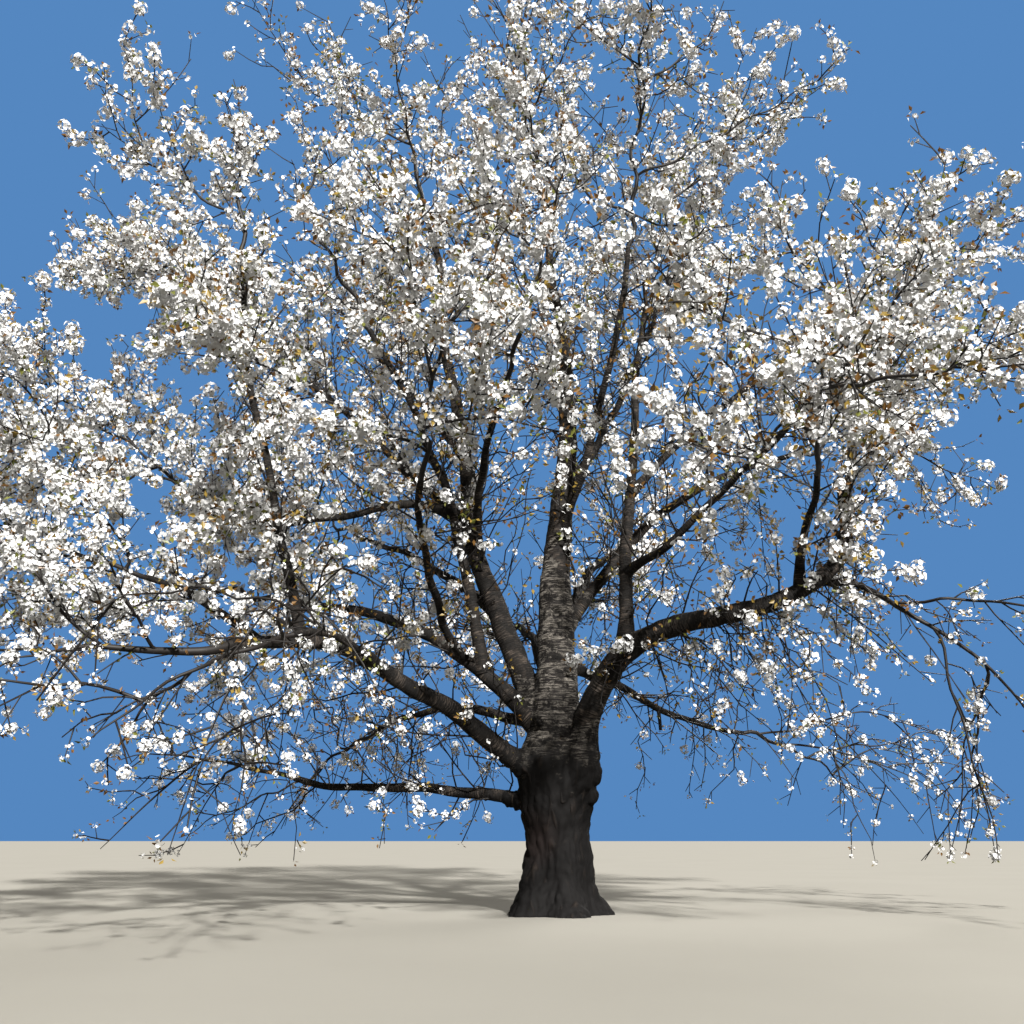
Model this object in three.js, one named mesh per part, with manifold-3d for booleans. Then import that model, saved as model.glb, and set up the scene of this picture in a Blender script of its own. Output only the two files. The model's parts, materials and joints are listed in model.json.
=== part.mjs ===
// A sweet cherry tree in full blossom: its trunk, its boughs, and a mass of flowering twigs on each bough.
// Millimetres, +Z up. The origin is the centre of the flat cut under the trunk, at ground level.
// Seen from the front, +X is to the right and +Y is away.
//
// The tree grows by one rule. Trunk and boughs are limbs, each worked out from a few named sizes.
// A mass is a stem that carries on from its bough's tip, with branches, shoots and sprays of blossom that
// follow a seeded rule. Each mass keeps to the space that is nearer to its own stem than to any other.

import * as THREE from "three";
import { mergeVertices } from "three/addons/utils/BufferGeometryUtils.js";
import Module from "manifold-3d";

const wasm = await Module();
wasm.setup();

const clearGap = 0.5; // between any two pieces that meet
const limbGap = 10; // between a limb and the twigs that pass it
const lowestTwig = 420; // how near the ground a twig may hang

const trunk = {
  name: "trunk",
  height: 2960,
  lean: 30, // towards +X at the top
  radius: 290, // at the foot, without the flare
  taper: 0.05, // radius lost for each millimetre of height
  rootFlare: { size: 130, fade: 220 },
  forkSwell: { size: 120, height: 1200, spread: 380 },
  roots: { count: 5, depth: 0.18, fade: 300 }, // ridges that run down into the roots
  sides: 15,
  ringHeights: [0, 90, 220, 450, 800, 1050, 1250, 1500, 1850, 2400, 2960],
};

const limbRule = {
  steps: 8,
  sides: { thick: 7, thin: 5, limit: 80 }, // the limit is the foot's radius
  crook: 7, // degrees that a step may stray
  taperPower: 1.25,
};

// from: the limb that a bough grows out of, and at: how far along it, 0 to 1.
// heading: degrees round from +X, where 90 is away and -90 is towards the front. turn: added by the tip.
// rise: degrees above level from the foot to the tip, as the control values of a curve.
// radius: at the foot and at the tip. reach: how far its mass goes on. lift: how much the twigs curl up.
const boughs = [
  // The middle of the crown
  { name: "leader", from: "trunk", at: 0.97, heading: 40, turn: 110, rise: [80, 76, 88],
    length: 5200, radius: [132, 30], reach: 2700, lift: 0.1 },
  { name: "left_leader", from: "trunk", at: 0.46, heading: 160, turn: 4, rise: [60, 92, 78],
    length: 6000, radius: [125, 34], reach: 2700, lift: 0.1 },

  // To the right
  { name: "right_arm", from: "trunk", at: 0.26, heading: -51, turn: 41, rise: [40, 148, -87, -13, 118],
    length: 4200, radius: [135, 52], reach: 2700, lift: 0.06 },
  { name: "right_weeping", from: "right_arm", at: 0.72, heading: 14, turn: -10, rise: [34, 16, -30],
    length: 900, radius: [40, 24], reach: 2300, lift: -0.34 },
  { name: "right_upright", from: "right_arm", at: 0.39, heading: 78, turn: -48, rise: [76, 86, 74],
    length: 3700, radius: [68, 28], reach: 2900, lift: 0.12 },
  { name: "right_upper", from: "trunk", at: 0.79, heading: 34, turn: -24, rise: [48, 50, 14],
    length: 3700, radius: [66, 28], reach: 2500, lift: 0.06 },
  { name: "right_low", from: "trunk", at: 0.71, heading: 58, turn: -28, rise: [10, -34, 6],
    length: 2900, radius: [52, 24], reach: 2300, lift: -0.26 },
  { name: "right_high", from: "right_upright", at: 0.42, heading: -8, turn: 14, rise: [46, 36, 30],
    length: 2100, radius: [40, 24], reach: 2400, lift: 0.08 },
  { name: "right_front_high", from: "right_upright", at: 0.2, heading: -60, turn: 14, rise: [10, 22, 30],
    length: 2100, radius: [38, 24], reach: 2300, lift: 0.08 },
  { name: "right_back_high", from: "leader", at: 0.2, heading: 34, turn: 6, rise: [52, 62, 68],
    length: 2700, radius: [48, 26], reach: 2600, lift: 0.12 },

  // To the left
  { name: "left_low", from: "trunk", at: 0.29, heading: 167, turn: 2, rise: [16, -12, 16],
    length: 2450, radius: [64, 28], reach: 2300, lift: -0.08 },
  { name: "left_front", from: "trunk", at: 0.37, heading: -149, turn: 13, rise: [19, 43, -19],
    length: 3300, radius: [95, 46], reach: 2300, lift: 0.02 },
  { name: "left_front_arc", from: "left_front", at: 0.93, heading: 176, turn: -4, rise: [44, 24, 22],
    length: 1100, radius: [36, 24], reach: 2400, lift: 0.02 },
  { name: "left_front_weeping", from: "left_front", at: 0.62, heading: -104, turn: -14, rise: [14, 6, -20],
    length: 1200, radius: [36, 24], reach: 2300, lift: -0.22 },
  { name: "left_long_shoot", from: "left_front", at: 0.83, heading: 180, turn: 4, rise: [80, 70, 78],
    length: 3400, radius: [42, 22], reach: 2000, lift: 0.1 },
  { name: "left_arm", from: "trunk", at: 0.47, heading: 174, turn: -16, rise: [53, 29, 6],
    length: 3100, radius: [88, 38], reach: 2400, lift: 0 },
  { name: "left_upright", from: "left_arm", at: 0.3, heading: 160, turn: 55, rise: [84, 74, 52],
    length: 3650, radius: [62, 28], reach: 2600, lift: 0.12 },
  { name: "left_arch", from: "left_upright", at: 0.44, heading: 180, turn: -6, rise: [16, -44, 40],
    length: 2700, radius: [44, 24], reach: 2150, lift: 0.14 },
  { name: "left_high", from: "left_leader", at: 0.39, heading: 176, turn: 6, rise: [46, 36, 40],
    length: 2900, radius: [50, 26], reach: 2700, lift: 0.12 },

  // Towards the front
  { name: "front_shoot", from: "leader", at: 0.1, heading: -62, turn: -10, rise: [42, 70, 72],
    length: 2800, radius: [46, 24], reach: 2600, lift: 0.12 },
  { name: "front_middle", from: "left_leader", at: 0.34, heading: -92, turn: 20, rise: [34, 24, 30],
    length: 2100, radius: [46, 26], reach: 2600, lift: 0.1 },
  { name: "front_left", from: "left_arm", at: 0.38, heading: -112, turn: 30, rise: [20, 41, 21],
    length: 2300, radius: [42, 26], reach: 2500, lift: 0.04 },
  { name: "front_right", from: "right_arm", at: 0.77, heading: -77, turn: -23, rise: [90, 12, 14],
    length: 1200, radius: [36, 24], reach: 2500, lift: 0.04 },

  // Away at the back
  { name: "back_low", from: "trunk", at: 0.5, heading: 142, turn: -10, rise: [24, 6, -14],
    length: 2500, radius: [58, 26], reach: 2400, lift: -0.14 },
  { name: "back_middle", from: "trunk", at: 0.6, heading: 98, turn: 6, rise: [48, 22, 4],
    length: 2800, radius: [72, 28], reach: 2400, lift: -0.08 },
  { name: "back_right", from: "trunk", at: 0.76, heading: 62, turn: 4, rise: [50, 34, 16],
    length: 2900, radius: [66, 28], reach: 2500, lift: 0.02 },
  { name: "back_left", from: "left_leader", at: 0.22, heading: 128, turn: 8, rise: [44, 32, 20],
    length: 2700, radius: [60, 26], reach: 2500, lift: 0.04 },
  { name: "back_high", from: "leader", at: 0.28, heading: 88, turn: 4, rise: [54, 50, 48],
    length: 2300, radius: [46, 26], reach: 2600, lift: 0.12 },
  { name: "back_left_high", from: "left_leader", at: 0.52, heading: 134, turn: 6, rise: [54, 44, 46],
    length: 2300, radius: [44, 26], reach: 2600, lift: 0.12 },
];

const massRule = {
  // The stem's length is a share of the mass's reach, and its radius a share of its bough's tip.
  stem: { share: 0.6, radius: 0.9, sprayTrim: 0.7, segments: 2 },
  // Where the first twig of a family grows, and how far on each next one does, as shares of their parent.
  // Each leaves it at an angle of splay: the least, and what chance may add. Its length, as a share of its
  // parent's, is the first number at the parent's foot and changes by the second on the way to its tip.
  branches: { count: 4, first: 0.15, spacing: 0.25, splay: [42, 22], length: [1.34, -0.64], segments: 2 },
  shoots: { count: 2, first: 0.4, spacing: 0.4, splay: [38, 20], length: [0.7, -0.2], segments: 1 },
  vary: 0.2, // how much a length may differ either way
  goldenAngle: 137.5,
  thinning: 0.6, // a twig's radius at its tip, as a share of that at its foot
  childRadius: 0.4, // of the radius there of what it grows from
  twigSides: 3,
  trims: [1, 0.8, 0.6, 0.42], // lengths tried, as shares, until a twig keeps to its space
  testedAt: [0.3, 0.65], // places along a twig that have to be clear, besides its tip
};

// The spray of blossom at the tip of every twig. On a twig that is cut short it is smaller, down to the least
// share, and two of one mass stand further apart than the sum of their radii times apart.
const spray = { radius: 165, stretch: 1.6, vary: 0.18, least: 0.35, apart: 1.2 };

// Small helpers

const up = new THREE.Vector3(0, 0, 1);
const firstSide = new THREE.Vector3(0.3, 0.9, 0.2); // the side of a line where its skin's first corner lies
const degrees = THREE.MathUtils.degToRad;

// A number from 0 to 1 that depends on nothing but its seed and roll.
function dice(seed, roll) {
  const wave = Math.sin(seed * 12.9898 + roll * 78.233) * 43758.5453;
  return wave - Math.floor(wave);
}

function directionOf(heading, rise) {
  const level = Math.cos(degrees(rise));
  return new THREE.Vector3(
    level * Math.cos(degrees(heading)),
    level * Math.sin(degrees(heading)),
    Math.sin(degrees(rise)),
  );
}

// Where a line of points is at s, which way it runs there, and how thick it is.
function stretchAt(line, s) {
  const place = Math.min(s, 1) * (line.points.length - 1);
  const index = Math.min(Math.floor(place), line.points.length - 2);
  return { index, share: place - index };
}

function pointOn(line, s) {
  const { index, share } = stretchAt(line, s);
  return line.points[index].clone().lerp(line.points[index + 1], share);
}

function wayOn(line, s) {
  const { index } = stretchAt(line, s);
  return line.points[index + 1].clone().sub(line.points[index]).normalize();
}

function radiusOn(line, s) {
  const { index, share } = stretchAt(line, s);
  return THREE.MathUtils.lerp(line.radii[index], line.radii[index + 1], share);
}

function controlCurve(values, s) {
  let left = values;
  while (left.length > 1) {
    left = left.slice(1).map((value, i) => left[i] * (1 - s) + value * s);
  }
  return left[0];
}

function solidFrom(geometry) {
  geometry.deleteAttribute("normal");
  geometry.deleteAttribute("uv");
  const merged = mergeVertices(geometry, 1e-4);
  return new wasm.Manifold(
    new wasm.Mesh({
      numProp: 3,
      vertProperties: merged.getAttribute("position").array,
      triVerts: new Uint32Array(merged.index.array),
    }),
  );
}

function geometryFrom(solid) {
  const mesh = solid.getMesh();
  const geometry = new THREE.BufferGeometry();
  geometry.setAttribute("position", new THREE.BufferAttribute(mesh.vertProperties, 3));
  geometry.setIndex(new THREE.BufferAttribute(mesh.triVerts, 1));
  geometry.computeVertexNormals();
  return geometry;
}

// A closed skin over rings of points that all have the same count, with a flat end on each outer ring.
function skinOver(rings) {
  const sides = rings[0].length;
  const positions = rings.flat().flatMap((point) => point.toArray());
  const faces = [];
  for (let ring = 0; ring < rings.length - 1; ring++) {
    for (let side = 0; side < sides; side++) {
      const here = ring * sides + side;
      const next = ring * sides + ((side + 1) % sides);
      faces.push(here, next, next + sides);
      faces.push(here, next + sides, here + sides);
    }
  }
  const top = (rings.length - 1) * sides;
  for (let side = 1; side < sides - 1; side++) {
    faces.push(0, side + 1, side);
    faces.push(top, top + side, top + side + 1);
  }
  const geometry = new THREE.BufferGeometry();
  geometry.setAttribute("position", new THREE.Float32BufferAttribute(positions, 3));
  geometry.setIndex(faces);
  return solidFrom(geometry);
}

// A round skin along a line of points. Each ring stands square to the line, turned as little as it can be,
// and the first one stands square to the way that the line sets out.
function lineSkin({ points, radii, way }, sides, grow = 0) {
  const rings = [];
  let side = null;
  points.forEach((point, i) => {
    const before = points[Math.max(i - 1, 0)];
    const after = points[Math.min(i + 1, points.length - 1)];
    const along = i === 0 && way ? way.clone() : after.clone().sub(before).normalize();
    const guide = side ?? firstSide;
    side = guide.clone().addScaledVector(along, -guide.dot(along)).normalize();
    const across = along.clone().cross(side);
    const ring = [];
    for (let corner = 0; corner < sides; corner++) {
      const angle = (2 * Math.PI * corner) / sides;
      const spoke = side.clone().multiplyScalar(Math.cos(angle)).addScaledVector(across, Math.sin(angle));
      ring.push(point.clone().addScaledVector(spoke, radii[i] + grow));
    }
    rings.push(ring);
  });
  return skinOver(rings);
}

// Limbs

function trunkRadius(height) {
  const { radius, taper, rootFlare, forkSwell } = trunk;
  const flare = rootFlare.size * Math.exp(-height / rootFlare.fade);
  const swell = forkSwell.size * Math.exp(-(((height - forkSwell.height) / forkSwell.spread) ** 2));
  return radius - taper * height + flare + swell;
}

function trunkSkin(grow) {
  const { roots, sides, lean, height } = trunk;
  const rings = trunk.ringHeights.map((z) => {
    const ridge = roots.depth * Math.exp(-z / roots.fade);
    const ring = [];
    for (let side = 0; side < sides; side++) {
      const angle = (2 * Math.PI * side) / sides;
      const radius = trunkRadius(z) * (1 + ridge * Math.cos(roots.count * angle)) + grow;
      const x = (lean * z) / height + radius * Math.cos(angle);
      ring.push(new THREE.Vector3(x, radius * Math.sin(angle), z === height ? z + grow : z));
    }
    return ring;
  });
  return skinOver(rings);
}

function trunkPlace(share) {
  return new THREE.Vector3(trunk.lean * share, 0, trunk.height * share);
}

function trunkLimb() {
  const places = trunk.ringHeights.map((z) => trunkPlace(z / trunk.height));
  return { name: trunk.name, points: places, radii: places.map(({ z }) => trunkRadius(z)), skin: trunkSkin };
}

function boughLimb(bough, seed) {
  const { steps, sides, crook, taperPower } = limbRule;
  const parent = limbs.get(bough.from);
  const points = [parent.name === trunk.name ? trunkPlace(bough.at) : pointOn(parent, bough.at)];
  const [foot, tip] = bough.radius;
  const radii = [foot];
  for (let i = 0; i < steps; i++) {
    const s = (i + 0.5) / steps;
    const heading = bough.heading + bough.turn * s + crook * (2 * dice(seed, 2 * i) - 1);
    const rise = controlCurve(bough.rise, s) + crook * (2 * dice(seed, 2 * i + 1) - 1);
    points.push(points[i].clone().addScaledVector(directionOf(heading, rise), bough.length / steps));
    radii.push(tip + (foot - tip) * (1 - (i + 1) / steps) ** taperPower);
  }
  const limb = { name: bough.name, points, radii };
  limb.skin = (grow) => lineSkin(limb, foot < sides.limit ? sides.thin : sides.thick, grow);
  return limb;
}

const limbs = new Map([[trunk.name, trunkLimb()]]);
boughs.forEach((bough, index) => limbs.set(bough.name, boughLimb(bough, index + 1)));

// Masses

// A twig bows gently: its place at s is start + length * (s * way + s * s * curl).
function growTwig({ start, way, curl, length, radius, segments }) {
  const points = [];
  const radii = [];
  for (let i = 0; i <= segments; i++) {
    const s = i / segments;
    points.push(start.clone().addScaledVector(way, length * s).addScaledVector(curl, length * s * s));
    radii.push(radius * (1 - s + massRule.thinning * s));
  }
  return { points, radii, way, length };
}

function stemOf(bough) {
  const limb = limbs.get(bough.name);
  const tip = limb.points.at(-1);
  const way = wayOn(limb, 1);
  return growTwig({
    start: tip.clone().addScaledVector(way, clearGap),
    way,
    curl: up.clone().multiplyScalar(bough.lift),
    length: bough.reach * massRule.stem.share,
    radius: limb.radii.at(-1) * massRule.stem.radius,
    segments: massRule.stem.segments,
  });
}

const masses = boughs.map((bough, index) => ({
  name: bough.name,
  bough,
  seed: (index + 1) * 1000,
  stem: stemOf(bough),
  sprays: [],
}));

const segment = new THREE.Line3();
const nearest = new THREE.Vector3();

function distanceToLine(point, from, to) {
  segment.set(from, to);
  return segment.closestPointToPoint(point, true, nearest).distanceTo(point);
}

function distanceToStem(point, mass) {
  return distanceToLine(point, mass.stem.points[0], mass.stem.points.at(-1));
}

// Whether a ball there keeps to the mass's own space, above the grass and clear of every limb.
function hasRoom(mass, point, radius) {
  if (point.z - radius < lowestTwig) return false;
  const own = distanceToStem(point, mass);
  const crowded = masses.some(
    (other) => other !== mass && distanceToStem(point, other) - own < 2 * (radius + clearGap),
  );
  if (crowded) return false;
  for (const limb of limbs.values()) {
    for (let i = 0; i < limb.points.length - 1; i++) {
      const needed = Math.max(limb.radii[i], limb.radii[i + 1]) + radius + limbGap;
      if (distanceToLine(point, limb.points[i], limb.points[i + 1]) < needed) return false;
    }
  }
  return true;
}

// A twig that grows off another, k-th of its kind, with its spray: as long as there is room for, or null.
function sideTwig(mass, parent, kind, k, seed) {
  const at = kind.first + kind.spacing * k;
  const along = wayOn(parent, at);
  const level = along.clone().cross(up).normalize();
  const over = level.clone().cross(along);
  const round = degrees(massRule.goldenAngle * (k + 3 * dice(seed, 1)));
  const outward = level.multiplyScalar(Math.cos(round)).addScaledVector(over, Math.sin(round));
  const splay = degrees(kind.splay[0] + kind.splay[1] * dice(seed, 2));
  const way = along.multiplyScalar(Math.cos(splay)).addScaledVector(outward, Math.sin(splay));
  const vary = 1 + massRule.vary * (2 * dice(seed, 3) - 1);
  const wanted = parent.length * (kind.length[0] + kind.length[1] * at) * vary;
  const start = pointOn(parent, at);
  const radius = massRule.childRadius * radiusOn(parent, at);
  const curl = up.clone().multiplyScalar(mass.bough.lift);
  for (const trim of massRule.trims) {
    const twig = growTwig({ start, way, curl, length: wanted * trim, radius, segments: kind.segments });
    twig.spray = sprayRadius(seed, trim);
    const clear = massRule.testedAt.every((s) => hasRoom(mass, pointOn(twig, s), radius));
    if (clear && hasRoom(mass, pointOn(twig, 1), twig.spray) && sprayStandsFree(mass, twig)) return twig;
  }
  return null;
}

// Whether the twig's spray keeps off those that its mass already bears.
function sprayStandsFree(mass, twig) {
  const place = pointOn(twig, 1);
  return mass.sprays.every(
    (other) => pointOn(other, 1).distanceTo(place) > spray.apart * (twig.spray + other.spray),
  );
}

function sprayRadius(seed, trim) {
  const { radius, vary, least } = spray;
  return radius * (1 + vary * (2 * dice(seed, 5) - 1)) * (least + (1 - least) * trim);
}

// Turned this way, the eight-sided form has a face square to its twig at either end.
const faceUp = new THREE.Quaternion().setFromUnitVectors(new THREE.Vector3(1, 1, 1).normalize(), up);

function spraySolid(twig, seed) {
  const geometry = new THREE.OctahedronGeometry(twig.spray);
  geometry.applyQuaternion(faceUp);
  geometry.scale(1, 1, spray.stretch);
  geometry.rotateZ(2 * Math.PI * dice(seed, 6));
  geometry.applyQuaternion(new THREE.Quaternion().setFromUnitVectors(up, wayOn(twig, 1)));
  geometry.translate(...pointOn(twig, 1).toArray());
  return solidFrom(geometry);
}

function massSolid(mass) {
  const { branches, shoots } = massRule;
  const pieces = [];
  const add = (twig, seed) => {
    mass.sprays.push(twig);
    pieces.push(lineSkin(twig, massRule.twigSides), spraySolid(twig, seed));
  };
  add({ ...mass.stem, spray: sprayRadius(mass.seed, massRule.stem.sprayTrim) }, mass.seed);
  for (let b = 0; b < branches.count; b++) {
    const branchSeed = mass.seed + 10 * (b + 1);
    const branch = sideTwig(mass, mass.stem, branches, b, branchSeed);
    if (!branch) continue;
    add(branch, branchSeed);
    for (let t = 0; t < shoots.count; t++) {
      const shoot = sideTwig(mass, branch, shoots, t, branchSeed + t + 1);
      if (shoot) add(shoot, branchSeed + t + 1);
    }
  }
  return wasm.Manifold.union(pieces);
}

// The pieces, each cut clear of those before it

const barkDark = new THREE.MeshStandardMaterial({ color: "#3b332f", roughness: 0.95, metalness: 0 });
const bark = new THREE.MeshStandardMaterial({ color: "#4c4440", roughness: 0.9, metalness: 0 });
const blossom = new THREE.MeshStandardMaterial({ color: "#f2f0e6", roughness: 0.8, metalness: 0 });

const tree = new THREE.Group();

function addPiece(name, solid, material) {
  const mesh = new THREE.Mesh(geometryFrom(solid), material);
  mesh.name = name;
  tree.add(mesh);
}

function largestPart(solid) {
  return solid.decompose().reduce((most, part) => (part.volume() > most.volume() ? part : most));
}

function boxesMeet(one, other) {
  return [0, 1, 2].every((axis) => one.min[axis] <= other.max[axis] && one.max[axis] >= other.min[axis]);
}

const earlier = [];
for (const limb of limbs.values()) {
  let solid = limb.skin(0);
  const box = solid.boundingBox();
  for (const { grown } of earlier.filter((other) => boxesMeet(box, other.box))) {
    solid = solid.subtract(grown);
  }
  const grown = limb.skin(clearGap);
  earlier.push({ grown, box: grown.boundingBox() });
  const isTrunk = limb.name === trunk.name;
  addPiece(isTrunk ? trunk.name : "bough_" + limb.name, largestPart(solid), isTrunk ? barkDark : bark);
}
for (const mass of masses) addPiece("blossom_" + mass.name, massSolid(mass), blossom);

export default tree;
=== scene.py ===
import json
import math
from functools import partial

import bmesh
import bpy
import numpy as np
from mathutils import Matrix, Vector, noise

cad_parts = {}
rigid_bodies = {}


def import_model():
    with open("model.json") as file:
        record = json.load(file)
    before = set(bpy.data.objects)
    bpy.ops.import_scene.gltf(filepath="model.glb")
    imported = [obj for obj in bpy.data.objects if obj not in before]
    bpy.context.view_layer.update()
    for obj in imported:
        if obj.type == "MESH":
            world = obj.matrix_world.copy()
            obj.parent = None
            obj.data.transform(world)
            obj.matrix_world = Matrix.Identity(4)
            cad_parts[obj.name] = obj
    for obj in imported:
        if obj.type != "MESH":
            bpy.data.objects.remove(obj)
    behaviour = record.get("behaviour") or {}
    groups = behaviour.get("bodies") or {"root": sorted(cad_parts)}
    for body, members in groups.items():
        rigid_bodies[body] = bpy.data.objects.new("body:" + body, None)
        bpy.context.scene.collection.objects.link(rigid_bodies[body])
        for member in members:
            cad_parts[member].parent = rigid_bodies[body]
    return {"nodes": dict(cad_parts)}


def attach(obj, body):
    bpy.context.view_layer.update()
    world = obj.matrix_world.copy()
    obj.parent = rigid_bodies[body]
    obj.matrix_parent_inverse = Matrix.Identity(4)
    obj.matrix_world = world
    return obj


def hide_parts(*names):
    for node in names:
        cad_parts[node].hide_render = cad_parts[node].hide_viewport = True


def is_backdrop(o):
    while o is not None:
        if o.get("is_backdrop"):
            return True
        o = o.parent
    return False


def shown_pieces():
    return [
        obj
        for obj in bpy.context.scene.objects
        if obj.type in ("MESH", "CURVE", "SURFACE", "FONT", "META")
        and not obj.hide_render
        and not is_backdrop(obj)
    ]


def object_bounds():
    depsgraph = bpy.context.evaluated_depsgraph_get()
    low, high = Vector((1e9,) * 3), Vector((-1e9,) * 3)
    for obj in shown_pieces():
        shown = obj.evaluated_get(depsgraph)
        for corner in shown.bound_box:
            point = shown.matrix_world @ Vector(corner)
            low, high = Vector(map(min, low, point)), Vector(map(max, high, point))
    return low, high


# A sweet cherry in full blossom. Metres, the trunk's foot on the origin, +X to the right and +Y away.
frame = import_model()
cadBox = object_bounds()
print("frame loaded,", len(frame["nodes"]), "nodes")


# Small helpers

up = np.array([0.0, 0.0, 1.0])
goldenAngle = math.radians(137.5)
anyTurn = (0, 6.28)  # radians


def dice(seed, roll):
    wave = math.sin(seed * 12.9898 + roll * 78.233) * 43758.5453
    return wave - math.floor(wave)


def unit(vector):
    return vector / np.linalg.norm(vector)


def directionOf(heading, rise):
    level = math.cos(math.radians(rise))
    heading = math.radians(heading)
    return np.array([level * math.cos(heading), level * math.sin(heading), math.sin(math.radians(rise))])


def sideWay(along, turned, splay):
    # the way of a side twig: turned about its parent, and leaning away from it by the splay
    level = np.cross(along, up)
    level = unit(level) if np.linalg.norm(level) > 0.05 else np.array([1.0, 0, 0])
    over = np.cross(level, along)
    outward = level * math.cos(turned) + over * math.sin(turned)
    return along * math.cos(splay) + outward * math.sin(splay)


def controlCurve(values, s):
    # a Bezier curve through a bough's angles
    values = np.array(values, float)
    while len(values) > 1:
        values = values[:-1] * (1 - s) + values[1:] * s
    return values[0]


def stretchAt(line, s):
    place = min(s, 1) * (len(line["points"]) - 1)
    index = min(int(place), len(line["points"]) - 2)
    return index, place - index


def pointOn(line, s):
    index, share = stretchAt(line, s)
    return line["points"][index] * (1 - share) + line["points"][index + 1] * share


def wayOn(line, s):
    index, share = stretchAt(line, s)
    return unit(line["points"][index + 1] - line["points"][index])


def radiusOn(line, s):
    index, share = stretchAt(line, s)
    return line["radii"][index] * (1 - share) + line["radii"][index + 1] * share


def distanceToLines(point, starts, ends):
    run = ends - starts
    share = np.clip(((point - starts) * run).sum(1) / (run * run).sum(1), 0, 1)
    return np.linalg.norm(point - starts - run * share[:, None], axis=1)


def smoothStep(low, high, value):
    share = np.clip((value - low) / (high - low), 0, 1)
    return share * share * (3 - 2 * share)


# The limbs, grown by the same rule and from the same sizes as the solids

trunk = {
    "height": 2.96,
    "lean": 0.03,
    "radius": 0.29,
    "taper": 0.05,
    "flare": (0.13, 0.22),  # size at the ground, and the height over which it fades
    "swell": (0.12, 1.2, 0.38),  # size, height and spread of the swelling at the fork
    "roots": (5, 0.18, 0.3),  # ridges, their depth, and the height over which they fade
    "ringHeights": (0, 0.09, 0.22, 0.45, 0.8, 1.05, 1.25, 1.5, 1.85, 2.4, 2.96),
}
limbRule = {"steps": 8, "crook": 7, "taperPower": 1.25}

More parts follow.
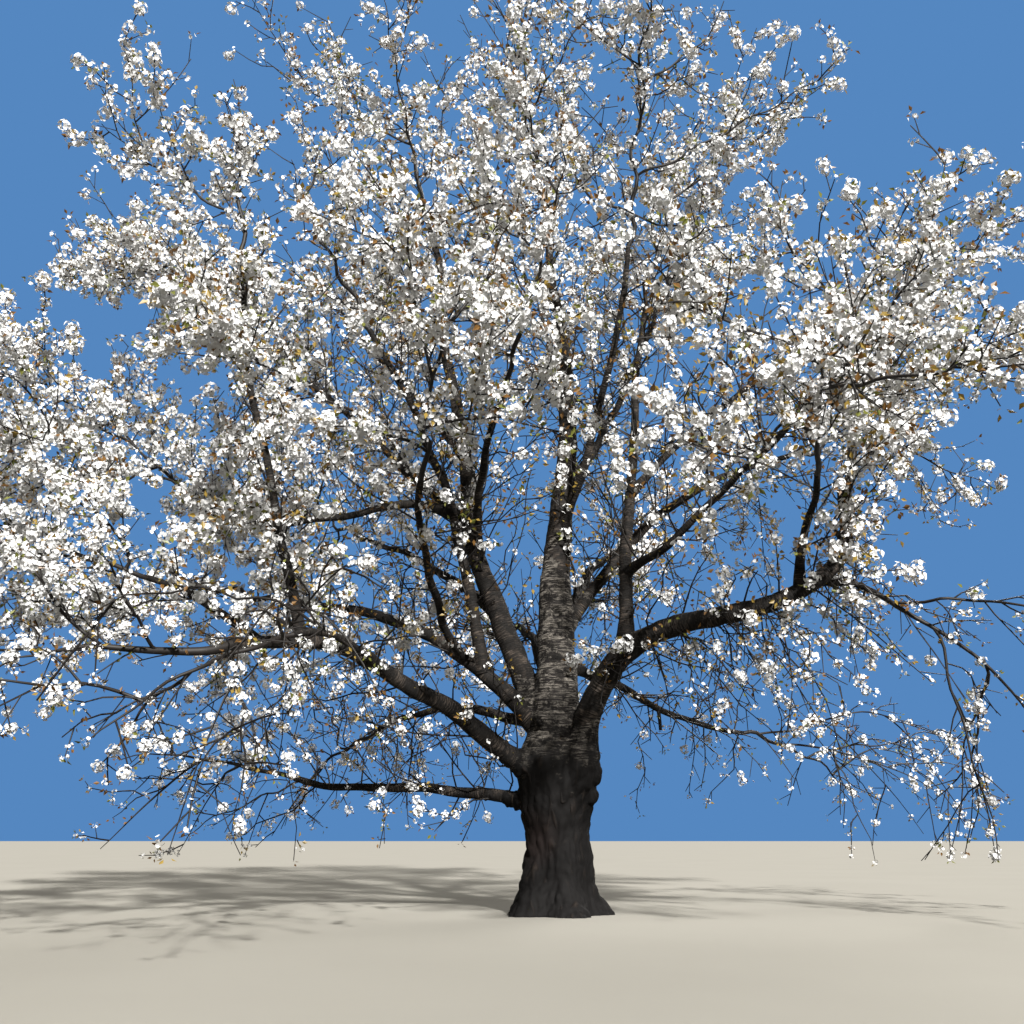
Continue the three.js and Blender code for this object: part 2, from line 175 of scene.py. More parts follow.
# name, from, at, heading, turn, rise, length, radius, reach, lift, bloom, part of the crown
boughs = (
    ("leader", "trunk", 0.97, 40, 110, (80, 76, 88), 5.2, (0.132, 0.03), 2.7, 0.1, 0.8, "top"),
    ("left_leader", "trunk", 0.46, 160, 4, (60, 92, 78), 6.0, (0.125, 0.034), 2.7, 0.1, 1.0, "top"),
    ("right_arm", "trunk", 0.26, -51, 41, (40, 148, -87, -13, 118), 4.2, (0.135, 0.052), 2.7, 0.06, 0.9,
     "right"),
    ("right_weeping", "right_arm", 0.72, 14, -10, (34, 16, -30), 0.9, (0.04, 0.024), 2.3, -0.34, 0.32,
     "right_low"),
    ("right_upright", "right_arm", 0.39, 78, -48, (76, 86, 74), 3.7, (0.068, 0.028), 2.9, 0.12, 1.0, "right"),
    ("right_upper", "trunk", 0.79, 34, -24, (48, 50, 14), 3.7, (0.066, 0.028), 2.5, 0.06, 0.5, "right"),
    ("right_low", "trunk", 0.71, 58, -28, (10, -34, 6), 2.9, (0.052, 0.024), 2.3, -0.26, 0.2, "right_low"),
    ("right_high", "right_upright", 0.42, -8, 14, (46, 36, 30), 2.1, (0.04, 0.024), 2.4, 0.08, 0.75, "right"),
    ("right_front_high", "right_upright", 0.2, -60, 14, (10, 22, 30), 2.1, (0.038, 0.024), 2.3, 0.08, 0.7,
     "front"),
    ("right_back_high", "leader", 0.2, 34, 6, (52, 62, 68), 2.7, (0.048, 0.026), 2.6, 0.12, 1.0, "back"),
    ("left_low", "trunk", 0.29, 167, 2, (16, -12, 16), 2.45, (0.064, 0.028), 2.3, -0.08, 0.4, "left_low"),
    ("left_front", "trunk", 0.37, -149, 13, (19, 43, -19), 3.3, (0.095, 0.046), 2.3, 0.02, 0.78, "left_low"),
    ("left_front_arc", "left_front", 0.93, 176, -4, (44, 24, 22), 1.1, (0.036, 0.024), 2.4, 0.02, 1.0,
     "left_low"),
    ("left_front_weeping", "left_front", 0.62, -104, -14, (14, 6, -20), 1.2, (0.036, 0.024), 2.3, -0.22,
     0.38, "left_low"),
    ("left_long_shoot", "left_front", 0.83, 180, 4, (80, 70, 78), 3.4, (0.042, 0.022), 2.0, 0.1, 1.0, "left"),
    ("left_arm", "trunk", 0.47, 174, -16, (53, 29, 6), 3.1, (0.088, 0.038), 2.4, 0.0, 0.9, "left"),
    ("left_upright", "left_arm", 0.3, 160, 55, (84, 74, 52), 3.65, (0.062, 0.028), 2.6, 0.12, 1.0, "left"),
    ("left_arch", "left_upright", 0.44, 180, -6, (16, -44, 40), 2.7, (0.044, 0.024), 2.15, 0.14, 1.0, "left"),
    ("left_high", "left_leader", 0.39, 176, 6, (46, 36, 40), 2.9, (0.05, 0.026), 2.7, 0.12, 1.0, "left"),
    ("front_shoot", "leader", 0.1, -62, -10, (42, 70, 72), 2.8, (0.046, 0.024), 2.6, 0.12, 0.65, "front"),
    ("front_middle", "left_leader", 0.34, -92, 20, (34, 24, 30), 2.1, (0.046, 0.026), 2.6, 0.1, 0.85,
     "front"),
    ("front_left", "left_arm", 0.38, -112, 30, (20, 41, 21), 2.3, (0.042, 0.026), 2.5, 0.04, 1.0,
     "front_low"),
    ("front_right", "right_arm", 0.77, -77, -23, (90, 12, 14), 1.2, (0.036, 0.024), 2.5, 0.04, 0.5,
     "front_low"),
    ("back_low", "trunk", 0.5, 142, -10, (24, 6, -14), 2.5, (0.058, 0.026), 2.4, -0.14, 0.16, "back_low"),
    ("back_middle", "trunk", 0.6, 98, 6, (48, 22, 4), 2.8, (0.072, 0.028), 2.4, -0.08, 0.4, "back_low"),
    ("back_right", "trunk", 0.76, 62, 4, (50, 34, 16), 2.9, (0.066, 0.028), 2.5, 0.02, 0.4, "back_low"),
    ("back_left", "left_leader", 0.22, 128, 8, (44, 32, 20), 2.7, (0.06, 0.026), 2.5, 0.04, 0.8, "back"),
    ("back_high", "leader", 0.28, 88, 4, (54, 50, 48), 2.3, (0.046, 0.026), 2.6, 0.12, 0.8, "back"),
    ("back_left_high", "left_leader", 0.52, 134, 6, (54, 44, 46), 2.3, (0.044, 0.026), 2.6, 0.12, 0.8,
     "back"),
)
fields = ("name", "from", "at", "heading", "turn", "rise", "length", "radius", "reach", "lift", "bloom",
          "part")
boughs = [dict(zip(fields, row)) for row in boughs]


def trunkRadius(height):
    flareSize, flareFade = trunk["flare"]
    swellSize, swellHeight, spread = trunk["swell"]
    flare = flareSize * math.exp(-height / flareFade)
    swell = swellSize * math.exp(-(((height - swellHeight) / spread) ** 2))
    return trunk["radius"] - trunk["taper"] * height + flare + swell


def trunkPlace(share):
    return np.array([trunk["lean"] * share, 0, trunk["height"] * share])


def growBough(bough, seed):
    steps = limbRule["steps"]
    crook = limbRule["crook"]
    parent = limbs[bough["from"]]
    points = [trunkPlace(bough["at"]) if parent["name"] == "trunk" else pointOn(parent, bough["at"])]
    foot, tip = bough["radius"]
    radii = [foot]
    for i in range(steps):
        s = (i + 0.5) / steps
        heading = bough["heading"] + bough["turn"] * s + crook * (2 * dice(seed, 2 * i) - 1)
        rise = controlCurve(bough["rise"], s) + crook * (2 * dice(seed, 2 * i + 1) - 1)
        points.append(points[i] + directionOf(heading, rise) * bough["length"] / steps)
        radii.append(tip + (foot - tip) * (1 - (i + 1) / steps) ** limbRule["taperPower"])
    return {"name": bough["name"], "points": np.array(points), "radii": np.array(radii)}


trunkPoints = np.array([trunkPlace(z / trunk["height"]) for z in trunk["ringHeights"]])
trunkRadii = np.array([trunkRadius(z) for z in trunk["ringHeights"]])
limbs = {"trunk": {"name": "trunk", "points": trunkPoints, "radii": trunkRadii}}
for index, bough in enumerate(boughs):
    limbs[bough["name"]] = growBough(bough, index + 1)

limbStarts = np.concatenate([limb["points"][:-1] for limb in limbs.values()])
limbEnds = np.concatenate([limb["points"][1:] for limb in limbs.values()])
limbThick = np.concatenate([np.maximum(limb["radii"][:-1], limb["radii"][1:]) for limb in limbs.values()])
limbOwner = np.concatenate([[i] * (len(limb["points"]) - 1) for i, limb in enumerate(limbs.values())])
print("limbs grown:", len(limbs))


# The main twigs of every mass, by the same rule too

massRule = {
    "stemShare": 0.6,
    "stemRadius": 0.9,
    "stemTrim": 0.7,
    "branches": {"count": 4, "first": 0.15, "spacing": 0.25, "splay": (42, 22), "length": (1.34, -0.64),
                 "segments": 2},
    "shoots": {"count": 2, "first": 0.4, "spacing": 0.4, "splay": (38, 20), "length": (0.7, -0.2),
               "segments": 1},
    "vary": 0.2,
    "thinning": 0.6,
    "childRadius": 0.4,
    "trims": (1, 0.8, 0.6, 0.42),
    "testedAt": (0.3, 0.65),
    "clearGap": 0.0005,
    "limbGap": 0.01,
    "lowestTwig": 0.42,
}
sprayRule = {"radius": 0.165, "vary": 0.18, "least": 0.35, "apart": 1.2}


def growTwig(start, way, curl, length, radius, segments):
    shares = np.linspace(0, 1, segments + 1)
    places = start + length * (shares[:, None] * way + shares[:, None] ** 2 * curl)
    radii = radius * (1 - shares + massRule["thinning"] * shares)
    return {"points": places, "radii": radii, "start": start, "way": way, "curl": curl, "length": length}


def sprayRadius(seed, trim):
    least = sprayRule["least"]
    vary = 1 + sprayRule["vary"] * (2 * dice(seed, 5) - 1)
    return sprayRule["radius"] * vary * (least + (1 - least) * trim)


def hasRoom(index, point, radius):
    if point[2] - radius < massRule["lowestTwig"]:
        return False
    toStems = distanceToLines(point, stemStarts, stemEnds)
    gaps = toStems - toStems[index]
    gaps[index] = np.inf
    if (gaps < 2 * (radius + massRule["clearGap"])).any():
        return False
    toLimbs = distanceToLines(point, limbStarts, limbEnds)
    return not (toLimbs < limbThick + radius + massRule["limbGap"]).any()


def sideTwig(mass, parent, kind, k, seed):
    at = kind["first"] + kind["spacing"] * k
    turned = goldenAngle * (k + 3 * dice(seed, 1))
    splay = math.radians(kind["splay"][0] + kind["splay"][1] * dice(seed, 2))
    way = sideWay(wayOn(parent, at), turned, splay)
    vary = 1 + massRule["vary"] * (2 * dice(seed, 3) - 1)
    wanted = parent["length"] * (kind["length"][0] + kind["length"][1] * at) * vary
    start = pointOn(parent, at)
    radius = massRule["childRadius"] * radiusOn(parent, at)
    for trim in massRule["trims"]:
        twig = growTwig(start, way, up * mass["bough"]["lift"], wanted * trim, radius, kind["segments"])
        twig.update(spray=sprayRadius(seed, trim), parent=parent, at=at)
        clear = all(hasRoom(mass["index"], pointOn(twig, s), radius) for s in massRule["testedAt"])
        if not clear or not hasRoom(mass["index"], twig["points"][-1], twig["spray"]):
            continue
        tips = [np.linalg.norm(other["points"][-1] - twig["points"][-1]) for other in mass["twigs"]]
        reach = [sprayRule["apart"] * (twig["spray"] + other["spray"]) for other in mass["twigs"]]
        if all(tip > needed for tip, needed in zip(tips, reach)):
            return twig
    return None


masses = []
for index, bough in enumerate(boughs):
    limb = limbs[bough["name"]]
    way = wayOn(limb, 1)
    stem = growTwig(
        limb["points"][-1] + way * massRule["clearGap"],
        way,
        up * bough["lift"],
        bough["reach"] * massRule["stemShare"],
        limb["radii"][-1] * massRule["stemRadius"],
        2,
    )
    seed = (index + 1) * 1000
    stem.update(spray=sprayRadius(seed, massRule["stemTrim"]), parent=None, at=0, depth=0)
    masses.append({"index": index, "seed": seed, "bough": bough, "stem": stem, "twigs": [stem]})
stemStarts = np.array([mass["stem"]["points"][0] for mass in masses])
stemEnds = np.array([mass["stem"]["points"][-1] for mass in masses])

for mass in masses:
    for b in range(massRule["branches"]["count"]):
        branchSeed = mass["seed"] + 10 * (b + 1)
        branch = sideTwig(mass, mass["stem"], massRule["branches"], b, branchSeed)
        if not branch:
            continue
        branch["depth"] = 1
        mass["twigs"].append(branch)
        for t in range(massRule["shoots"]["count"]):
            shoot = sideTwig(mass, branch, massRule["shoots"], t, branchSeed + t + 1)
            if shoot:
                shoot["depth"] = 2
                mass["twigs"].append(shoot)
print("main twigs:", sum(len(mass["twigs"]) for mass in masses))


# The finer twigs that carry the blossom. Every twig bows gently and strays from its line by a few crooks:
# its place at s is start + length * (s * way + s * s * curl) and the crooks.

finer = {
    "tip": 1.35,  # how far a main twig goes on past its tip, in radii of the spray there
    "tipRadius": 0.0035,
    "leastRadius": (0.023, 0.0135, 0.0095),  # at the foot of a stem, a branch and a shoot
    "spacing": 0.17,  # between the side twigs along a main twig
    "inShade": 0.6,  # the share of them on boughs with few flowers
    "splay": (34, 64),  # degrees from the twig that it grows on
    "length": (0.26, 0.62),
    "lift": 1.5,  # times the lift of its mass
    "wander": 0.15,
    "radius": (0.0078, 0.0044),  # at the foot and at the tip
    "edge": 0.04,  # kept inside the box of the solids
    "lowest": 0.44,
    "limbGap": 0.02,
    "seed": 7000,
}
sprigs = {  # flowering twigs straight off the boughs
    "spacing": 0.1,
    "bareFoot": (0.38, 0.22),  # of a bough from the trunk, and of any other
    "splay": (48, 84),
    "rise": 0.3,
    "short": (0.16, 0.42),
    "long": (0.5, 1.2),
    "longShare": 0.5,
    "curl": (0.16, -0.2),  # on a bough that rises and on one that droops
    "radius": (0.0095, 0.0044),
    "thickest": 0.105,  # the thickest wood that still bears them
    "twiglets": (1.3, 0.8),  # how closely they stand on long and short ones
}
hangers = {  # long twigs that hang from a bough or rise from it
    # how many for each metre and how full of flowers, then -1 where they rise, and True where they grow on
    # the stem past the bough's end and not on the bough
    "boughs": (
        ("right_arm", 12, 0.35), ("right_low", 2, 0.2), ("right_weeping", 1, 0.25), ("left_low", 2, 0.25),
        ("left_front", 3, 0.5), ("left_front_weeping", 2, 0.3), ("back_low", 2, 0.2),
        ("back_middle", 2, 0.3), ("back_right", 3, 0.3), ("right_upper", 4, 0.4), ("left_high", 7, 1.0, -1),
        ("left_high", 4, 1.0), ("left_high", 9, 1.0, 1, True), ("left_arch", 10, 1.0, -1),
        ("left_arch", 6, 1.0, -1, True), ("left_upright", 4, 1.0, -1), ("left_long_shoot", 4, 1.0),
    ),
    "from": 0.3,  # of the way along the bough
    "length": (0.5, 1.35),
    "sag": (0.2, 0.6),
    "wander": 0.14,
    "radius": (0.0075, 0.0042),
    "twiglets": 1.9,
}
twiglets = {"spacing": 0.17, "splay": (35, 65), "length": (0.08, 0.24), "curl": 0.6,
            "radius": (0.0052, 0.0036)}
crookRule = {"main": 0.014, "fine": 0.028, "waves": ((4, 8), (10, 15))}  # waves in radians for each metre

low = np.array(cadBox[0]) + finer["edge"]
high = np.array(cadBox[1]) - finer["edge"]
twigs = []  # every twig as it is shown


def bowed(twig, s):
    strayed = s * s * twig["curl"]
    for waves, crook in twig["crooks"]:
        strayed = strayed + crook * math.sin(waves * s)
    return twig["start"] + twig["length"] * (s * twig["way"] + strayed)


def courseOf(twig, s):
    return unit(twig["way"] + 2 * s * twig["curl"])


def addTwig(start, way, curl, length, radius, depth, bough):
    # a long twig strays more often, and a main one by less of its length
    rng = np.random.default_rng(len(twigs) + finer["seed"])
    size = crookRule["main" if depth < 3 else "fine"]
    crooks = [(rng.uniform(*span) * max(length, 0.3), rng.normal(0, size, 3)) for span in crookRule["waves"]]
    twigs.append({"start": start, "way": way, "curl": curl, "length": length, "radius": radius,
                  "depth": depth, "bough": bough, "crooks": crooks})
    return twigs[-1]


def keepsClear(twig, own):
    # inside the box, off the ground, and off every limb but its own
    for s in (0.5, 1):
        place = bowed(twig, s)
        if (place < low).any() or (place > high).any() or place[2] < finer["lowest"]:
            return False
    others = limbOwner != own
    gaps = distanceToLines(bowed(twig, 1), limbStarts[others], limbEnds[others])
    return (gaps > limbThick[others] + finer["limbGap"]).all()


def addFine(start, way, curl, length, radius, bough, own, rng, density=1.0):
    # a fine twig with its twiglets, each of them only where it keeps clear
    twig = addTwig(start, way, curl, length, radius, 3, bough)
    if not keepsClear(twig, own):
        twigs.pop()
        return
    count = int(length / twiglets["spacing"] * density + rng.random())
    turned = rng.uniform(*anyTurn)
    for k in range(count):
        s = (k + rng.uniform(0.35, 0.95)) / count
        turned += goldenAngle
        sideways = sideWay(courseOf(twig, s), turned, math.radians(rng.uniform(*twiglets["splay"])))
        reach = rng.uniform(*twiglets["length"]) * (1.15 - 0.4 * s)
        curled = curl * twiglets["curl"]
        small = addTwig(bowed(twig, s), sideways, curled, reach, twiglets["radius"], 4, bough)
        if not keepsClear(small, -1):
            twigs.pop()


def growFiner(main, bough, rng):
    count = int(main["length"] / finer["spacing"] * (1 if bough["bloom"] > 0.4 else finer["inShade"]))
    turned = rng.uniform(*anyTurn)
    for k in range(count):
        s = (k + rng.uniform(0.1, 0.7) + 0.3) / count
        if main["depth"] == 0 and s < 0.12:
            continue
        turned += goldenAngle
        way = sideWay(courseOf(main, s), turned, math.radians(rng.uniform(*finer["splay"])))
        length = rng.uniform(*finer["length"]) * (1.2 - 0.45 * s)
        curl = up * (bough["lift"] * finer["lift"] + 0.04) + rng.normal(0, finer["wander"], 3)
        addFine(bowed(main, s), way, curl, length, finer["radius"], bough, -1, rng)


def growSprigs(bough, own, rng):
    limb = limbs[bough["name"]]
    bareFoot = sprigs["bareFoot"][bough["from"] != "trunk"]
    count = int(bough["length"] / sprigs["spacing"])
    turned = rng.uniform(*anyTurn)
    for k in range(count):
        s = (k + rng.random()) / count
        if s * bough["length"] < bareFoot or radiusOn(limb, s) > sprigs["thickest"]:
            continue
        turned += goldenAngle
        along = wayOn(limb, s)
        way = sideWay(along, turned, math.radians(rng.uniform(*sprigs["splay"])))
        way = unit(way + up * sprigs["rise"])
        short = rng.random() >= sprigs["longShare"]
        length = rng.uniform(*sprigs["short" if short else "long"])
        curl = up * sprigs["curl"][bough["lift"] <= -0.1] + rng.normal(0, finer["wander"], 3)
        start = pointOn(limb, s) + unit(way - along * (way @ along)) * radiusOn(limb, s) * 0.8
        addFine(start, way, curl, length, sprigs["radius"], bough, own, rng, sprigs["twiglets"][short])


def growHangers(mass, own, rng, perMetre, bloom, down=1, onStem=False):
    bough = mass["bough"]
    limb = mass["stem"]["shown"] if onStem else limbs[bough["name"]]
    share = 1 - hangers["from"]
    hung = {**bough, "bloom": bloom}
    for k in range(int(perMetre * (limb if onStem else bough)["length"] * share)):
        s = hangers["from"] + share * rng.random()
        start = bowed(limb, s) if onStem else pointOn(limb, s)
        along = courseOf(limb, s) if onStem else wayOn(limb, s)
        side = unit(np.cross(along, up)) * rng.choice((-1, 1))
        way = side * rng.uniform(0.2, 0.9) + along * rng.uniform(0, 0.8) - down * up * rng.uniform(0.1, 0.9)
        length = rng.uniform(*hangers["length"])
        curl = -down * up * rng.uniform(*hangers["sag"]) + rng.normal(0, hangers["wander"], 3)
        addFine(start, unit(way), curl, length, hangers["radius"], hung, own, rng, hangers["twiglets"])


for own, mass in enumerate(masses, 1):
    bough = mass["bough"]
    rng = np.random.default_rng(mass["seed"])
    for main in mass["twigs"]:
        if main["parent"]:
            main["start"] = bowed(main["parent"]["shown"], main["at"] / main["parent"]["past"])
        past = main["past"] = 1 + main["spray"] * finer["tip"] / main["length"]
        depth, curl, length = main["depth"], main["curl"] * past, main["length"] * past
        radius = (max(main["radii"][0], finer["leastRadius"][depth]), finer["tipRadius"])
        main["shown"] = addTwig(main["start"], main["way"], curl, length, radius, depth, bough)
        growFiner(main["shown"], bough, rng)
    growSprigs(bough, own, rng)
    for name, *rest in hangers["boughs"]:
        if name == bough["name"]:
            growHangers(mass, own, rng, *rest)
print("twigs grown:", len(twigs), "of length", round(sum(twig["length"] for twig in twigs)))


# Where the spurs stand: a place, the way that it faces, and its size

spurRule = {
    "gap": (0.19, 0.15, 0.125, 0.12, 0.12),  # between spurs in full flower, by the twig's depth
    "from": (0.4, 0.2, 0.12, 0.16, 0.5),  # the share of the twig that stays bare at its foot
    "fromInShade": 0.3,  # the same where flowers are few
    "inFlower": (1.0, 1.0, 0.95, 0.7, 0.42),  # the share of twigs in full flower, the others are sparse
    "sparseGap": 0.26,
    "fullShare": 0.78,  # of the spurs on a twig in full flower, those with a full posy
    "leafShare": 0.85,
    "facing": (75, 12),  # degrees from the twig, along it and at its tip
    "lean": 0.3,
    "bareTip": 0.2,  # length of the new growth at the tips, with buds only
    "bareAbove": 5.5,  # the height above which tips are bare
    "lowSize": (1.6, 3.0, 0.72),  # below the first height posies have this share of the size above the second
    "vary": (0.85, 1.15),
}
crown = {"centre": (0, 0.4, 4.2), "half": (5.0, 4.6, 5.4), "inner": (0.42, 0.74), "innerBloom": 0.18,
         "top": (7.4, 9.4), "topLoss": 0.5}


def bloomAt(place):
    # the inside of the crown, in its own shade, has few flowers, and its topmost shoots fewer than the rest
    outward = np.linalg.norm((place - np.array(crown["centre"])) / np.array(crown["half"]))
    top = 1 - crown["topLoss"] * smoothStep(*crown["top"], place[2])
    return top * (crown["innerBloom"] + (1 - crown["innerBloom"]) * smoothStep(*crown["inner"], outward))


posy = {"full": [], "small": [], "leaves": []}
lowest, highest, lowShare = spurRule["lowSize"]
rng = np.random.default_rng(77)
for twig in twigs:
    depth, length, part = twig["depth"], twig["length"], twig["bough"]["part"]
    bloom = twig["bough"]["bloom"] * bloomAt(bowed(twig, 0.7))
    inFlower = rng.random() < spurRule["inFlower"][depth] * bloom
    gap = spurRule["gap"][depth] if inFlower else spurRule["sparseGap"]
    first = spurRule["from"][depth] * length
    if bloom < 0.5:
        first = max(first, spurRule["fromInShade"] * length)
    last = length
    if depth < 4 and bowed(twig, 1)[2] > spurRule["bareAbove"] and twig["way"][2] > 0.2 * depth:
        last -= spurRule["bareTip"] * rng.uniform(0.5, 1.4)
    spots = np.arange(first + gap * rng.random(), last, gap)
    spots = np.append(spots + rng.uniform(-0.02, 0.02, len(spots)), last)
    turned = rng.uniform(*anyTurn)
    for spot in spots:
        s = min(max(spot / length, 0), 1)
        turned += goldenAngle
        facing = sideWay(courseOf(twig, s), turned, math.radians(spurRule["facing"][s >= 1]))
        facing = unit(facing + up * spurRule["lean"] * (1 if bloom > 0.6 else -0.6))
        thick = twig["radius"][0] * (1 - s) + twig["radius"][1] * s
        place = bowed(twig, s) + facing * thick * 0.5
        size = lowShare + (1 - lowShare) * smoothStep(lowest, highest, place[2])
        row = (part, (*place, *facing, size * rng.uniform(*spurRule["vary"])))
        full = inFlower and rng.random() < spurRule["fullShare"]
        if full or rng.random() < bloom:
            posy["full" if full else "small"].append(row)
        if rng.random() < spurRule["leafShare"] * (0.4 + 0.6 * bloom):
            posy["leaves"].append(row)
print("spurs:", {kind: len(rows) for kind, rows in posy.items()})


# Materials. Colours are given in sRGB and turned to linear by one function.


def linear(colour):
    values = [int(colour[i : i + 2], 16) / 255 for i in (1, 3, 5)]
    return (*[v / 12.92 if v <= 0.04045 else ((v + 0.055) / 1.055) ** 2.4 for v in values], 1)


def link(node, sources):
    # a node that is named as a source stands for its first output in use
    for key, source in sources.items():
        if isinstance(source, bpy.types.Node):
            source = next(socket for socket in source.outputs if socket.enabled)
        node.id_data.links.new(source, node.inputs[key])


def put(tree, kind, settings, sources=None):
    # adds a node, named without the word for its family, with its settings and links
    families = ("ShaderNode", "GeometryNode", "FunctionNode")
    node = tree.nodes.new(next(family + kind for family in families if hasattr(bpy.types, family + kind)))
    for key, value in settings.items():
        if isinstance(key, int) or key in node.inputs:
            node.inputs[key].default_value = linear(value) if str(value)[0] == "#" else value
        else:
            setattr(node, key, value)
    link(node, sources or {})
    return node


def newMaterial(name, settings):
    material = bpy.data.materials.new(name)
    material.use_nodes = True
    tree = material.node_tree
    shader = tree.nodes["Principled BSDF"]
    for key, value in settings.items():
        shader.inputs[key].default_value = value
    return material, partial(put, tree), shader, put(tree, "TexCoord", {}).outputs["Object"]


# Cherry petals: thin, matt with a soft sheen, white where fresh and faintly cream where older. The patches
# are as large as a posy, 120 mm.
petalFinish = {"patch": 0.12, "detail": 2.0, "through": 0.5,
               "shader": {"Roughness": 0.6, "Sheen Weight": 0.15, "Specular IOR Level": 0.3}}
# Young cherry leaves: soft, half glossy, bronze at first and green as they open. The patches are as large
# as a leaf, 40 mm.
leafFinish = {"patch": 0.04, "detail": 1.0, "through": 0.3, "shader": {"Roughness": 0.42}}


def thinMaterial(name, fresh, aged, finish):
    # petals and leaves are lit through from behind
    material, add, shader, place = newMaterial(name, finish["shader"])
    patches = add("TexNoise", {"Scale": 1 / finish["patch"], "Detail": finish["detail"]}, {"Vector": place})
    tint = add("Mix", {"data_type": "RGBA", 6: fresh, 7: aged}, {0: patches})
    link(shader, {"Base Color": tint})
    through = add("BsdfTranslucent", {}, {"Color": tint})
    mixed = add("MixShader", {0: finish["through"]}, {1: shader, 2: through})
    link(material.node_tree.nodes["Material Output"], {"Surface": mixed})
    return material


def twigBark(name):
    # Twig bark of a cherry: thin, satin and near black, under a dark skin that breaks up in bands of 60 mm.
    material, add, shader, place = newMaterial(name, {"Roughness": 0.6})
    skin = add("TexNoise", {"Scale": 1 / 0.06, "Detail": 3.0, "Roughness": 0.6}, {"Vector": place})
    tint = add("Mix", {"data_type": "RGBA", 6: "#0a0807", 7: "#221b17"}, {0: skin})
    bump = add("Bump", {"Strength": 0.3, "Distance": 0.002}, {"Height": skin})
    link(shader, {"Base Color": tint, "Normal": bump})
    return material


def boughBark(name):
    # Bark of a cherry bough: a thin grey-brown skin with lenticels in bands across the bough, and near black
    # scaly stretches where it has split. It follows the bough's own UV map, in metres round and along.
    material, add, shader, place = newMaterial(name, {"Roughness": 0.8, "Specular IOR Level": 0.3})
    around = add("UVMap", {"uv_map": "bark"})
    # The lenticels are 12 mm by 90 mm, drawn about twice as coarse as life so that they show.
    across = add("Mapping", {"Scale": (1 / 0.1, 1 / 0.014, 1)}, {"Vector": around})
    bands = add("TexNoise", {"Scale": 1.0, "Detail": 3.0, "Roughness": 0.6}, {"Vector": across})
    banded = add("MapRange", {"From Min": 0.45, "From Max": 0.7}, {"Value": bands})
    # Scaly stretches about 200 mm long.
    scales = add("TexNoise", {"Scale": 1 / 0.16, "Detail": 6.0, "Roughness": 0.66}, {"Vector": place})
    scaly = add("MapRange", {"From Min": 0.36, "From Max": 0.54}, {"Value": scales})
    skin = add("Mix", {"data_type": "RGBA", 6: "#16120f", 7: "#6b6057"}, {0: banded})
    dark = add("Mix", {"data_type": "RGBA", 7: "#110e0c"}, {0: scaly, 6: skin})
    # Yellow lichen in rare spots of 30 mm.
    spots = add("TexNoise", {"Scale": 1 / 0.07, "Detail": 2.0}, {"Vector": place})
    spotted = add("MapRange", {"From Min": 0.71, "From Max": 0.75}, {"Value": spots})
    lichened = add("Mix", {"data_type": "RGBA", 7: "#8d7a34"}, {0: spotted, 6: dark})
    height = add("Math", {"operation": "ADD"}, {0: banded, 1: scales})
    bump = add("Bump", {"Strength": 0.9, "Distance": 0.008}, {"Height": height})
    link(shader, {"Base Color": lichened, "Normal": bump})
    return material


